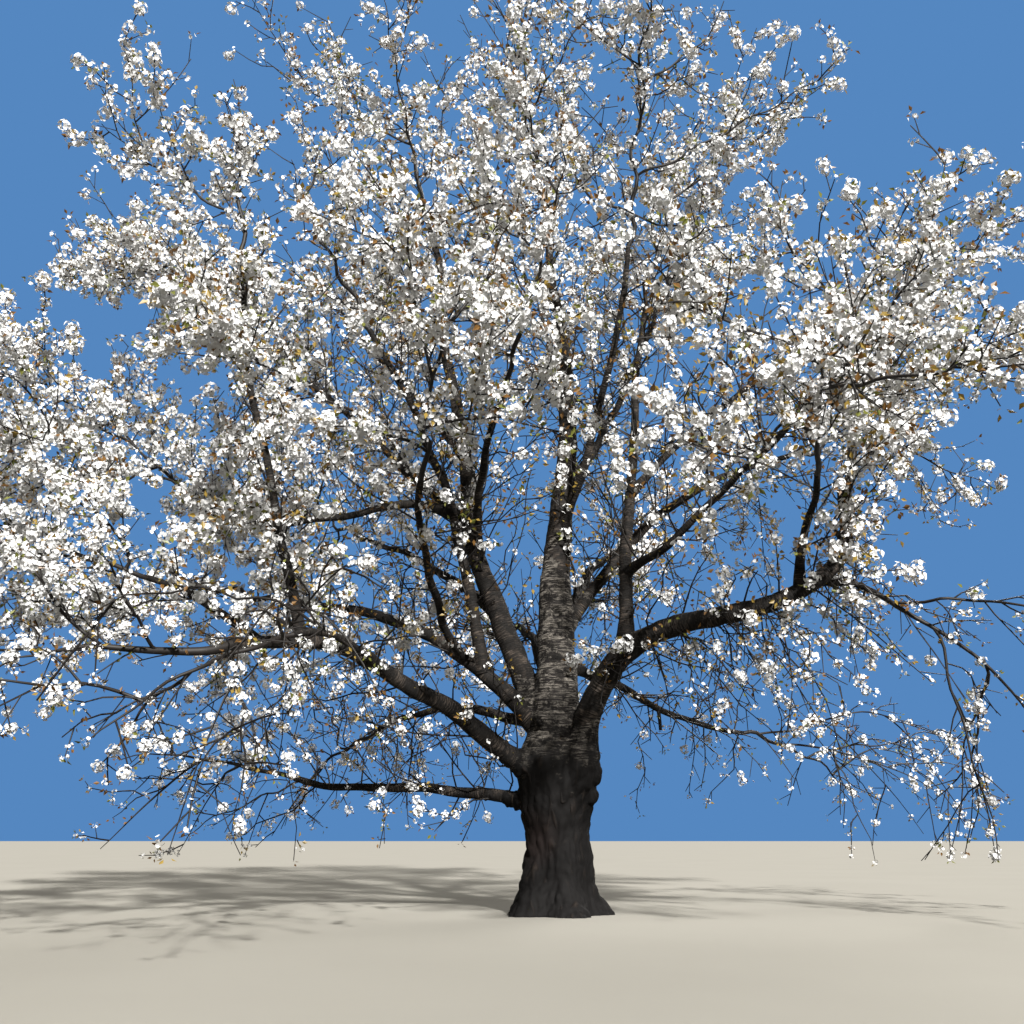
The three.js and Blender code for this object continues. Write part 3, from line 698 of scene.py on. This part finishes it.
def trunkBark(name):
    # Bark of an old cherry trunk: near black and split into rough upright plates as far as the fork, above it
    # a smoother grey-brown skin with long lenticels lying level.
    material, add, shader, place = newMaterial(name, {"Roughness": 0.85, "Specular IOR Level": 0.3})
    # Furrows about 50 mm apart and 200 mm tall. They are near black: partly the darker bark deep in them,
    # partly painted shade in the recesses.
    stretched = add("Mapping", {"Scale": (1 / 0.07, 1 / 0.07, 1 / 0.24)}, {"Vector": place})
    ridges = {"noise_type": "RIDGED_MULTIFRACTAL", "Scale": 1.0, "Detail": 5.0, "Roughness": 0.6,
              "Distortion": 0.5}
    furrows = add("TexNoise", ridges, {"Vector": stretched})
    furrowReliefAndShade = add("MapRange", {"From Min": 0.15, "From Max": 1.1}, {"Value": furrows})
    grime = add("TexNoise", {"Scale": 1 / 0.09, "Detail": 5.0, "Roughness": 0.65}, {"Vector": place})
    plate = add("Mix", {"data_type": "RGBA", 6: "#1a1513", 7: "#43382f"}, {0: grime})
    # near black in the furrows: partly their darker bark, partly painted shade in the recesses
    rough = add("Mix", {"data_type": "RGBA", 6: "#080606"}, {0: furrowReliefAndShade, 7: plate})
    # Reddish inner bark shows faintly, low on the left, in a patch of about 300 mm.
    apart = add("VectorMath", {"operation": "DISTANCE", 1: (-0.24, -0.2, 0.62)}, {0: place})
    faded = {"From Min": 0.1, "From Max": 0.3, "To Min": 0.12, "To Max": 0.0}
    inPatch = add("MapRange", faded, {"Value": apart.outputs["Value"]})
    reddened = add("Mix", {"data_type": "RGBA", 7: "#46302a"}, {0: inPatch, 6: rough})
    # Lenticels 20 mm tall and 130 mm long, coarser than life so that they show.
    level = add("Mapping", {"Scale": (1 / 0.13, 1 / 0.13, 1 / 0.02)}, {"Vector": place})
    bands = add("TexNoise", {"Scale": 1.0, "Detail": 5.0, "Roughness": 0.7, "Distortion": 1.1},
                {"Vector": level})
    banded = add("MapRange", {"From Min": 0.45, "From Max": 0.75}, {"Value": bands})
    smooth = add("Mix", {"data_type": "RGBA", 6: "#141010", 7: "#cfc6ba"}, {0: banded})
    # The rough bark ends raggedly, at about 1.3 m.
    patches = add("TexNoise", {"Scale": 1 / 0.3, "Detail": 4.0, "Roughness": 0.6}, {"Vector": place})
    axes = add("SeparateXYZ", {}, {0: place})
    edge = add("Math", {"operation": "MULTIPLY_ADD", 1: 1.6}, {0: patches, 2: axes.outputs["Z"]})
    older = add("MapRange", {"From Min": 2.05, "From Max": 2.4}, {"Value": edge})
    # Above it, black scaly spots of 60 mm.
    scales = add("TexNoise", {"Scale": 1 / 0.1, "Detail": 6.0, "Roughness": 0.7}, {"Vector": place})
    scaly = add("MapRange", {"From Min": 0.48, "From Max": 0.58}, {"Value": scales})
    spotted = add("Mix", {"data_type": "RGBA", 7: "#14100e"}, {0: scaly, 6: smooth})
    colour = add("Mix", {"data_type": "RGBA"}, {0: older, 6: reddened, 7: spotted})
    height = add("Mix", {"data_type": "FLOAT"}, {0: older, 2: furrowReliefAndShade, 3: banded})
    bump = add("Bump", {"Strength": 1.0, "Distance": 0.03}, {"Height": height})
    link(shader, {"Base Color": colour, "Normal": bump})
    return material


finishes = {
    "petals": thinMaterial("freshCherryPetal", "#fffbf1", "#f7efdc", petalFinish),
    "hearts": thinMaterial("stalksAndStamens", "#a9a24e", "#8a9440", leafFinish),
    "bronze": thinMaterial("bronzeYoungLeaf", "#8c6630", "#66492a", leafFinish),
    "amber": thinMaterial("amberYoungLeaf", "#ab8f45", "#8a7434", leafFinish),
    "olive": thinMaterial("oliveYoungLeaf", "#85853c", "#646a30", leafFinish),
    "twigs": twigBark("cherryTwigBark"),
    "boughs": boughBark("cherryBoughBark"),
    "trunk": trunkBark("oldCherryTrunkBark"),
}
print("materials made")


# Bark: the boughs as tubes along smooth lines, and the trunk fused with the feet of the boughs

wood = {
    "step": 0.05,  # between the rings of a bough
    "sides": (18, 12),  # of the thick boughs and of the others
    "thick": 0.08,
    "collar": (0.5, 0.1),  # extra thickness where a bough leaves its parent, and its fade
    "voxel": 0.018,  # of the fused trunk
    "lump": 0.14,  # share of the radius by which a bough is uneven
}
trunkForm = {"sides": 96, "rings": 90, "below": (-0.12, -0.06)}
feet = {  # the feet of the boughs, thick where they leave the trunk and tucked into the boughs further on
    "step": 0.04,
    "sides": 20,
    "length": 0.42,
    "snug": 0.94,
    "bulge": (0.45, 0.1),  # at the side of the trunk and at its top
    "fade": 0.13,
}
burls = ((0.26, -0.14, 1.16, 0.14), (0.24, -0.12, 0.98, 0.12), (-0.1, -0.22, 1.62, 0.1))  # x, y, z, radius
knot = {"place": (0.02, -0.17, 2.58), "hollow": 0.05, "rim": 0.085, "soft": 0.03, "deep": 0.05,
        "proud": 0.022}


def smoothPath(limb, step):
    # points evenly spaced on a curve through the limb's own points, and its radii there
    points = limb["points"]
    padded = np.vstack([2 * points[0] - points[1], points, 2 * points[-1] - points[-2]])
    length = np.linalg.norm(np.diff(points, axis=0), axis=1).sum()
    shares = np.linspace(0, 1, max(int(length / step), 6) + 1)
    places = []
    for s in shares:
        index, t = stretchAt(limb, s)
        before, here, after, beyond = padded[index : index + 4]
        places.append(
            0.5 * (2 * here + (after - before) * t + (2 * before - 5 * here + 4 * after - beyond) * t * t
                   + (3 * here - before - 3 * after + beyond) * t**3)
        )
    return np.array(places), np.array([radiusOn(limb, s) for s in shares])


def skinFaces(rings, sides):
    # a closed skin over rings of points, which a middle point follows for each end
    faces, last = [], (rings - 1) * sides
    for i in range(rings - 1):
        for j in range(sides):
            k = (j + 1) % sides
            faces.append((i * sides + j, i * sides + k, (i + 1) * sides + k, (i + 1) * sides + j))
    for j in range(sides):
        k = (j + 1) % sides
        faces += [(k, j, rings * sides), (last + j, last + k, rings * sides + 1)]
    return faces


def tube(points, radii, sides):
    # a closed round skin along a line: its vertices, faces and UV corners
    ways = np.gradient(points, axis=0)
    ways /= np.linalg.norm(ways, axis=1)[:, None]
    angles = np.arange(sides) * 2 * math.pi / sides
    side = np.array([0.3, 0.9, 0.2])
    rings = []
    for point, way, radius in zip(points, ways, radii):
        side = unit(side - way * (side @ way))
        across = np.cross(way, side)
        rings.append(point + (np.cos(angles)[:, None] * side + np.sin(angles)[:, None] * across) * radius)
    vertices = np.vstack([*rings, points[:1], points[-1:]])
    along = np.concatenate([[0], np.cumsum(np.linalg.norm(np.diff(points, axis=0), axis=1))])
    girth = 2 * math.pi * radii.mean()
    corners = []
    for i in range(len(points) - 1):
        for j in range(sides):
            left, right = girth * j / sides, girth * (j + 1) / sides
            corners += [(left, along[i]), (right, along[i]), (right, along[i + 1]), (left, along[i + 1])]
    corners += [(0, 0), (0.02, 0), (0.01, 0.02)] * (2 * sides)
    return vertices, skinFaces(len(points), sides), corners


def show(name, data):
    piece = bpy.data.objects.new(name, data)
    bpy.context.scene.collection.objects.link(piece)
    return piece


def newMesh(name, vertices, faces, corners=None, smooth=True):
    mesh = bpy.data.meshes.new(name)
    mesh.from_pydata([tuple(v) for v in vertices], [], faces)
    if corners:
        mesh.uv_layers.new(name="bark").data.foreach_set("uv", np.array(corners, np.float32).ravel())
    mesh.polygons.foreach_set("use_smooth", [smooth] * len(mesh.polygons))
    mesh.update()
    return mesh


def evaluated(piece):
    graph = bpy.context.evaluated_depsgraph_get()
    mesh = bpy.data.meshes.new_from_object(piece.evaluated_get(graph))
    piece.modifiers.clear()
    piece.data = mesh
    mesh.name = piece.name
    return piece


def join(parts):
    vertices, faces, corners, start = [], [], [], 0
    for partVertices, partFaces, partCorners in parts:
        vertices.append(partVertices)
        faces += [tuple(start + v for v in face) for face in partFaces]
        corners += partCorners
        start += len(partVertices)
    return np.vstack(vertices), faces, corners


def noiseAt(place, across, tall):
    x, y, z = place
    return noise.noise((x * across, y * across, z * tall))


def boughTube(bough):
    points, radii = smoothPath(limbs[bough["name"]], wood["step"])
    parentRadius = radiusOn(limbs[bough["from"]], bough["at"])
    along = np.linspace(0, bough["length"], len(points))
    collar, fade = wood["collar"]
    if bough["at"] > 0.9:  # it goes on from its parent's end
        collar = 0
    radii = radii * (1 + collar * np.exp(-np.maximum(along - parentRadius, 0) / fade))
    sides = wood["sides"][bough["radius"][0] <= wood["thick"]]
    vertices, faces, corners = tube(points, radii, sides)
    spokes = vertices[:-2] - np.repeat(points, sides, axis=0)
    for i, vertex in enumerate(vertices[:-2]):
        lump = noiseAt(vertex, 7, 7) + 0.5 * noiseAt(vertex, 22, 22)
        vertices[i] = vertex + spokes[i] * wood["lump"] * lump
    return vertices, faces, corners


boughPiece = show("boughs", newMesh("boughs", *join([boughTube(bough) for bough in boughs])))
boughPiece.data.materials.append(finishes["boughs"])


def trunkSkin():
    # from a little below the ground up, with the ridges over the roots
    sides = trunkForm["sides"]
    count, depth, fade = trunk["roots"]
    bottom, first = trunkForm["below"]
    heights = np.concatenate([[bottom], np.linspace(first, trunk["height"], trunkForm["rings"])])
    angles = np.arange(sides) * 2 * math.pi / sides
    rings = []
    for z in heights:
        above = max(z, 0)
        radius = trunkRadius(above) * (1 + depth * math.exp(-above / fade) * np.cos(count * angles))
        x = trunk["lean"] * z / trunk["height"]
        level = np.full(sides, z)
        rings.append(np.column_stack([x + radius * np.cos(angles), radius * np.sin(angles), level]))
    vertices = np.vstack([*rings, [[0, 0, bottom]], [[trunk["lean"], 0, trunk["height"]]]])
    return vertices, skinFaces(len(heights), sides), []


def footTube(bough):
    points, radii = smoothPath(limbs[bough["name"]], feet["step"])
    along = np.linspace(0, bough["length"], len(points))
    onTop = bough["at"] > 0.9
    out = [math.hypot(x - trunk["lean"] * z / trunk["height"], y) - trunkRadius(z) for x, y, z in points]
    leaves = trunkRadius(trunk["height"]) if onTop else along[np.argmax(np.array(out) > -0.02)]
    kept = along < leaves + feet["length"]
    grown = feet["snug"] + feet["bulge"][onTop] * np.exp(-np.maximum(along - leaves, 0) / feet["fade"])
    return (*tube(points[kept], (radii * grown)[kept], feet["sides"])[:2], [])


def burlBall(x, y, z, radius):
    ball = bmesh.new()
    bmesh.ops.create_icosphere(ball, subdivisions=3, radius=radius)
    vertices = np.array([v.co for v in ball.verts]) + np.array([x, y, z])
    faces = [tuple(v.index for v in face.verts) for face in ball.faces]
    ball.free()
    return vertices, faces, []


trunkParts = [trunkSkin()]
trunkParts += [footTube(bough) for bough in boughs if bough["from"] == "trunk"]
trunkParts += [burlBall(*burl) for burl in burls]
trunkPiece = show("trunk_bark", newMesh("trunk_bark", *join(trunkParts)))
fuse = trunkPiece.modifiers.new("fuse", "REMESH")
fuse.mode = "VOXEL"
fuse.voxel_size = wood["voxel"]
fuse.use_smooth_shade = True
soften = trunkPiece.modifiers.new("soften", "SMOOTH")
soften.factor = 0.6
soften.iterations = 5
trunkMesh = evaluated(trunkPiece).data

relief = {
    "roughTop": (1.75, 0.95),  # the rough bark fades out between these heights
    "plates": 0.03,
    "lumps": 0.022,
    "bands": 0.003,
    "cut": 0.0005,  # the height of the flat cut under the trunk
}
places = np.array([v.co for v in trunkMesh.vertices])
normals = np.array([v.normal for v in trunkMesh.vertices])
roughness = 1 - smoothStep(relief["roughTop"][1], relief["roughTop"][0], places[:, 2])
shift = np.zeros(len(places))
for i, place in enumerate(places):  # each noise has so many waves for each metre, across and up
    fissure = abs(noiseAt(place, 13, 4.5)) + 0.5 * abs(noiseAt(place, 27, 10))
    band = noiseAt(place, 7, 34) + 0.5 * noiseAt(place, 15, 60)
    shift[i] = (
        relief["plates"] * roughness[i] * (1.6 * fissure - 0.5)
        + relief["lumps"] * noiseAt(place, 4, 3)
        + relief["bands"] * (1 - roughness[i]) * band
    )
    apart = math.dist(place, knot["place"])
    shift[i] += knot["proud"] * math.exp(-(((apart - knot["rim"]) / knot["soft"]) ** 2))
    shift[i] -= knot["deep"] * math.exp(-((apart / knot["hollow"]) ** 4))
places += normals * shift[:, None]
trunkMesh.vertices.foreach_set("co", places.astype(np.float32).ravel())
cut = bmesh.new()
cut.from_mesh(trunkMesh)
everything = cut.verts[:] + cut.edges[:] + cut.faces[:]
ground = {"plane_co": (0, 0, relief["cut"]), "plane_no": (0, 0, -1)}
bmesh.ops.bisect_plane(cut, geom=everything, clear_outer=True, **ground)
bmesh.ops.holes_fill(cut, edges=[edge for edge in cut.edges if edge.is_boundary])
bmesh.ops.triangulate(cut, faces=[face for face in cut.faces if len(face.verts) > 4])
cut.to_mesh(trunkMesh)
cut.free()
trunkMesh.materials.clear()
trunkMesh.materials.append(finishes["trunk"])
print("bark made:", len(trunkMesh.polygons), "and", len(boughPiece.data.polygons), "faces")


# Twigs: tubes along their lines, by Geometry Nodes


def newTree(name, sockets):
    tree = bpy.data.node_groups.new(name, "GeometryNodeTree")
    tree.interface.new_socket("Geometry", in_out="INPUT", socket_type="NodeSocketGeometry")
    for label, kind in sockets.items():
        tree.interface.new_socket(label, in_out="INPUT", socket_type="NodeSocket" + kind)
    tree.interface.new_socket("Geometry", in_out="OUTPUT", socket_type="NodeSocketGeometry")
    return tree, partial(put, tree), tree.nodes.new("NodeGroupInput").outputs


def endTree(tree, geometry, finish):
    whole = put(tree, "RealizeInstances", {}, {"Geometry": geometry})
    dressed = put(tree, "SetMaterial", {}, {"Geometry": whole, "Material": finish})
    link(tree.nodes.new("NodeGroupOutput"), {"Geometry": dressed})


def growOn(name, points, edges, marks, tree, values):
    # a tree makes its forms on bare points or lines, and reads the marks on them
    mesh = bpy.data.meshes.new(name)
    mesh.from_pydata([tuple(point) for point in points], edges, [])
    for label, numbers in marks.items():
        numbers = np.array(numbers, np.float32)
        kind, field = ("FLOAT", "value") if numbers.ndim == 1 else ("FLOAT_VECTOR", "vector")
        mesh.attributes.new(label, kind, "POINT").data.foreach_set(field, numbers.ravel())
    piece = show(name, mesh)
    modifier = piece.modifiers.new(tree.name, "NODES")
    modifier.node_group = tree
    for item in tree.interface.items_tree:
        if item.in_out == "INPUT" and item.name in values:
            modifier[item.identifier] = values[item.name]
    evaluated(piece)
    for label in marks:
        if label in piece.data.attributes:
            piece.data.attributes.remove(piece.data.attributes[label])
    return piece


twigSockets = {"Sides": "Int", "Thickness": "Float", "Bark": "Material"}
twigTree, add, given = newTree("twigsAlongLines", twigSockets)
lines = add("MeshToCurve", {}, {"Mesh": given["Geometry"]})
thick = add("InputNamedAttribute", {"data_type": "FLOAT", "Name": "thick"})
thicker = add("Math", {"operation": "MULTIPLY"}, {0: thick, 1: given["Thickness"]})
section = add("CurvePrimitiveCircle", {"Radius": 1.0}, {"Resolution": given["Sides"]})
skins = add("CurveToMesh", {"Fill Caps": True},
            {"Curve": lines, "Profile Curve": section, "Scale": thicker})
rounded = add("SetShadeSmooth", {}, {"Geometry": skins})
endTree(twigTree, rounded, given["Bark"])

twigForm = {"stretch": (0.09, 0.14), "taper": 0.85}  # the length of a stretch, on main twigs and on others


def twigPiece(name, chosen, sides):
    vertices, edges, radii = [], [], []
    for twig in chosen:
        stretch = twigForm["stretch"][twig["depth"] > 1]
        segments = 1 if twig["depth"] == 4 else max(math.ceil(twig["length"] / stretch), 2)
        shares = np.linspace(0, 1, segments + 1)
        edges += [(len(radii) + i, len(radii) + i + 1) for i in range(segments)]
        vertices += [bowed(twig, s) for s in shares]
        foot, tip = twig["radius"]
        radii += list(tip + (foot - tip) * (1 - shares) ** twigForm["taper"])
    return growOn(name, vertices, edges, {"thick": radii}, twigTree,
                  {"Sides": sides, "Thickness": 1.0, "Bark": finishes["twigs"]})


stubs = (("right_low", 0.58, (0.1, 0, -1), 0.22, 0.017),
         ("right_arm", 0.9, (-0.5, -0.3, 0.8), 0.17, 0.016))
for owner, at, way, length, thick in stubs:  # where twigs have been cut off
    addTwig(pointOn(limbs[owner], at), np.array(way), np.zeros(3), length, (thick * 1.2, thick), 1, None)

crownParts = sorted({bough["part"] for bough in boughs})
branchPiece = twigPiece("branches", [twig for twig in twigs if twig["depth"] < 2], 6)
twigPieces = {
    part: twigPiece("twigs_" + part, [t for t in twigs if t["depth"] > 1 and t["bough"]["part"] == part], 3)
    for part in crownParts
}
print("twigs made:", sum(len(piece.data.polygons) for piece in twigPieces.values()), "faces")


# Blossom and leaves: forms of a few faces, set on the spurs by Geometry Nodes

flower = {
    "wide": 0.78,  # where a petal is widest, as a share of its length
    "half": 35,  # degrees to either side of its middle there
    "cup": (4, 24),  # degrees that a petal rises
    "heart": 0.24,  # the size of its stamens, as a share of a petal's length
}
nearParts = ("front", "front_low", "left_low")  # of the crown, as the camera sees it
posyRule = {  # near and far: the flowers, those with whole petals, and a petal's length, longer than life
    "full": {"reach": (0.032, 0.063), "down": -0.9, "near": (23, 7, 0.0205), "far": (15, 0, 0.0255)},
    "small": {"reach": (0.022, 0.04), "down": -0.5, "near": (5, 2, 0.0185), "far": (4, 0, 0.0215)},
}
leafForm = {"length": (0.042, 0.062), "width": 0.28, "fold": 0.3, "count": 3}
formCount = 6  # of each kind of posy, and of the tufts of leaves


def framed(facing):
    side = unit(np.cross(facing, (0.3, 0.5, 0.81)))
    return side, np.cross(facing, side)


def newForms(name, form, parts):
    # a collection holds the forms, and nothing else shows them
    if name not in bpy.data.collections:
        bpy.data.collections.new(name)
    mesh = newMesh(f"{name}{form}", *join(parts), smooth=False)
    bpy.data.collections[name].objects.link(bpy.data.objects.new(mesh.name, mesh))
    return bpy.data.collections[name]


def petalsOf(centre, facing, length, whole, rng):
    # whole petals come to a rounded tip, and the plainer ones are cut short
    side, over = framed(facing)
    points, faces = [centre], []
    spin = rng.uniform(*anyTurn)
    half, wide = math.radians(flower["half"]), flower["wide"]
    rim = ((-half, wide), (0, 1), (half, wide)) if whole else ((-half, 1), (half, 1))
    for p in range(5):
        middle = spin + p * 2 * math.pi / 5 + rng.uniform(-0.08, 0.08)
        cup = math.radians(rng.uniform(*flower["cup"]))
        size = length * rng.uniform(0.9, 1.06)
        first = len(points)
        for turn, reach in rim:
            out = side * math.cos(middle + turn) + over * math.sin(middle + turn)
            far = size * reach
            points.append(centre + out * (far * math.cos(cup)) + facing * (far * math.sin(cup)))
        faces += [(0, first + i, first + i + 1) for i in range(len(rim) - 1)]
    return np.array(points), faces, []


def posyForms(kind, distance):
    # two collections of forms: the petals, and the stalks with the hearts of the flowers
    rule = posyRule[kind]
    flowers, wholeOnes, length = rule[distance]
    for form in range(formCount):
        rng = np.random.default_rng(100 * flowers + form)
        petalParts, heartParts = [], []
        for i in range(flowers):
            height = 1 - (1 - rule["down"]) * (i + 0.5) / flowers
            turn = goldenAngle * i + rng.uniform(-0.3, 0.3)
            ring = math.sqrt(max(1 - height * height, 0))
            out = np.array([ring * math.cos(turn), ring * math.sin(turn), height])
            out = unit(out + rng.normal(0, 0.12, 3))
            centre = out * rng.uniform(*rule["reach"])
            facing = unit(out + rng.normal(0, 0.18, 3))
            whole = rng.random() < wholeOnes / flowers
            petalParts.append(petalsOf(centre, facing, length, whole, rng))
            side, over = framed(facing)
            spread = length * flower["heart"]
            heart = [centre + facing * 0.005 + spread * (side * math.cos(a) + over * math.sin(a))
                     for a in (0, 2.1, 4.2)]
            stalk = [out * 0.006 + side * 0.0015, out * 0.006 - side * 0.0015, centre]
            if whole:
                heartParts.append((np.array(heart + stalk), [(0, 1, 2), (3, 4, 5)], []))
            elif i % 4 == 0:
                heartParts.append((np.array(stalk), [(0, 1, 2)], []))
        petals = newForms(kind + distance + "Petals", form, petalParts)
        hearts = newForms(kind + distance + "Hearts", form, heartParts)
    return petals, hearts


def leafForms():
    for form in range(formCount):
        rng = np.random.default_rng(500 + form)
        parts = []
        for i in range(leafForm["count"]):
            turn = goldenAngle * i + rng.uniform(*anyTurn)
            out = unit(np.array([math.cos(turn), math.sin(turn), rng.uniform(0.3, 1.1)]))
            side = unit(np.cross(out, up))
            over = np.cross(side, out)
            length = rng.uniform(*leafForm["length"])
            foot = out * rng.uniform(0.02, 0.048)
            wide = foot + out * length * 0.45 + over * length * leafForm["fold"] * leafForm["width"]
            tip = foot + out * length - over * length * 0.12
            half = side * length * leafForm["width"]
            parts.append((np.array([foot, wide + half, tip, wide - half]), [(0, 1, 2), (0, 2, 3)], []))
        leaves = newForms("leafForm", form, parts)
    return leaves


posySockets = {"Forms": "Collection", "Size": "Float", "Seed": "Int", "Finish": "Material"}
posyTree, add, given = newTree("posiesOnSpurs", posySockets)
forms = add("CollectionInfo", {"Separate Children": True, "Reset Children": True},
            {"Collection": given["Forms"]})
way = add("InputNamedAttribute", {"data_type": "FLOAT_VECTOR", "Name": "way"})
size = add("InputNamedAttribute", {"data_type": "FLOAT", "Name": "size"})
faced = add("AlignRotationToVector", {"axis": "Z"}, {"Vector": way})
turn = add("RandomValue", {"data_type": "FLOAT", 2: 0.0, 3: 6.283}, {"Seed": given["Seed"]})
turned = add("CombineXYZ", {}, {"Z": turn})
spin = add("EulerToRotation", {}, {"Euler": turned})
spun = add("RotateRotation", {"rotation_space": "LOCAL"}, {"Rotation": faced, "Rotate By": spin})
picked = add("RandomValue", {"data_type": "INT", 4: 0, 5: formCount - 1}, {"Seed": given["Seed"]})
sized = add("Math", {"operation": "MULTIPLY"}, {0: size, 1: given["Size"]})
posies = add("InstanceOnPoints", {"Pick Instance": True},
             {"Points": given["Geometry"], "Instance": forms, "Instance Index": picked, "Rotation": spun,
              "Scale": sized})
endTree(posyTree, posies, given["Finish"])


def onSpurs(name, rows, forms, seed, finish):
    rows = np.array(rows, np.float32)
    return growOn(name, rows[:, :3], [], {"way": rows[:, 3:6], "size": rows[:, 6]}, posyTree,
                  {"Forms": forms, "Size": 1.0, "Seed": seed, "Finish": finish})


def merge(name, pieces):
    joined = bmesh.new()
    for piece in pieces:
        joined.from_mesh(piece.data)
    mesh = bpy.data.meshes.new(name)
    joined.to_mesh(mesh)
    joined.free()
    mesh.materials.append(pieces[0].data.materials[0])
    for piece in pieces:
        bpy.data.objects.remove(piece)
    return show(name, mesh)


posyShapes = {(kind, distance): posyForms(kind, distance)
              for kind in posyRule for distance in ("near", "far")}
leafShapes = leafForms()
petalPieces, heartPieces = {}, {}
for part in crownParts:
    distance = "near" if part in nearParts else "far"
    for which, (finish, title, pieces) in enumerate((("petals", "petals_", petalPieces),
                                                     ("hearts", "flower_hearts_", heartPieces))):
        made = []
        for kind in posyRule:
            rows = [row for owner, row in posy[kind] if owner == part]
            shapes = posyShapes[kind, distance][which]
            made.append(onSpurs(f"{kind}_{finish}_{part}", rows, shapes, 3, finishes[finish]))
        pieces[part] = merge(title + part, made)
    print("blossom", part, len(petalPieces[part].data.polygons), "faces")

leafPieces = []
tints = np.random.default_rng(9).choice(3, len(posy["leaves"]), p=(0.4, 0.35, 0.25))
for tint, finish in enumerate(("bronze", "amber", "olive")):
    rows = [row for (owner, row), dealt in zip(posy["leaves"], tints) if dealt == tint]
    leafPieces.append(onSpurs("leaves_" + finish, rows, leafShapes, 11 + tint, finishes[finish]))
print("leaves made:", sum(len(piece.data.polygons) for piece in leafPieces), "faces")


# What stands for which solid


def stand(piece, nodes):
    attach(piece, "root")
    if nodes:
        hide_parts(*nodes)


stand(trunkPiece, ["trunk"])
stand(boughPiece, ["bough_" + bough["name"] for bough in boughs])
stand(branchPiece, ["blossom_" + bough["name"] for bough in boughs])
for part in crownParts:
    nodes = ["blossom_" + bough["name"] for bough in boughs if bough["part"] == part]
    stand(twigPieces[part], nodes)
    stand(petalPieces[part], nodes)
    stand(heartPieces[part], nodes)
for piece in leafPieces:
    stand(piece, [])


# The stage: a pale floor that runs to the horizon, a soft key light and a plain blue backdrop

stage = {
    "floor": 900,
    "floorColours": ("#9d9a92", "#a4a199"),
    "floorBounce": "#5a5852",  # what the floor sends back up to the tree
    "backdrop": "#5587c0",
    "fill": "#e3e0da",
    "fillStrength": 0.19,
    "lights": {  # strength, how it is turned in degrees, and how wide it is
        "keyLight": (8.2, (59, 0, 18), 3),
        "backLight": (1.5, (-50, 0, -32), 20),
    },
    "lightColour": (1.0, 0.98, 0.94),
}
rim = [(x * stage["floor"], y * stage["floor"], 0) for x, y in ((-1, -1), (1, -1), (1, 1), (-1, 1))]
floor = show("floor", newMesh("floor", rim, [(0, 1, 2, 3)]))
matt = {"Roughness": 0.9, "Specular IOR Level": 0.1}
floorMaterial, add, shader, place = newMaterial("paleStudioFloor", matt)
clouding = add("TexNoise", {"Scale": 0.6, "Detail": 3.0}, {"Vector": place})
plain, pale = stage["floorColours"]
tint = add("Mix", {"data_type": "RGBA", 6: plain, 7: pale}, {0: clouding})
rays = add("LightPath", {})
shown = add("Mix", {"data_type": "RGBA", 6: stage["floorBounce"]}, {0: rays, 7: tint})
link(shader, {"Base Color": shown})
floor.data.materials.append(floorMaterial)
floor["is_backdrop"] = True

world = bpy.data.worlds.new("studio")
bpy.context.scene.world = world
world.use_nodes = True
add = partial(put, world.node_tree)
seen = add("Background", {"Color": stage["backdrop"]})
filled = add("Background", {"Color": stage["fill"], "Strength": stage["fillStrength"]})
rays = add("LightPath", {})
mixed = add("MixShader", {}, {0: rays, 1: filled, 2: seen})
link(world.node_tree.nodes["World Output"], {"Surface": mixed})
bpy.context.scene.view_settings.view_transform = "Standard"  # whites stay white and the bark stays dark

for name, (strength, turned, wide) in stage["lights"].items():
    lamp = show(name, bpy.data.lights.new(name, "SUN"))
    lamp.data.energy = strength
    lamp.data.angle = math.radians(wide)
    lamp.data.color = stage["lightColour"]
    lamp.rotation_euler = [math.radians(a) for a in turned]

view = {"place": (-0.385, -9.2, 0.6), "pitch": 18.1, "lens": 35.33, "farthest": 3000}
camera = show("camera", bpy.data.cameras.new("camera"))
camera.data.lens = view["lens"]
camera.data.sensor_width = 36
camera.data.clip_end = view["farthest"]
camera.location = view["place"]
camera.rotation_euler = (math.radians(90 + view["pitch"]), 0, 0)
bpy.context.scene.camera = camera

total = sum(len(p.vertices) - 2 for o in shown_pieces() for p in o.data.polygons)
print("triangles in all:", total)
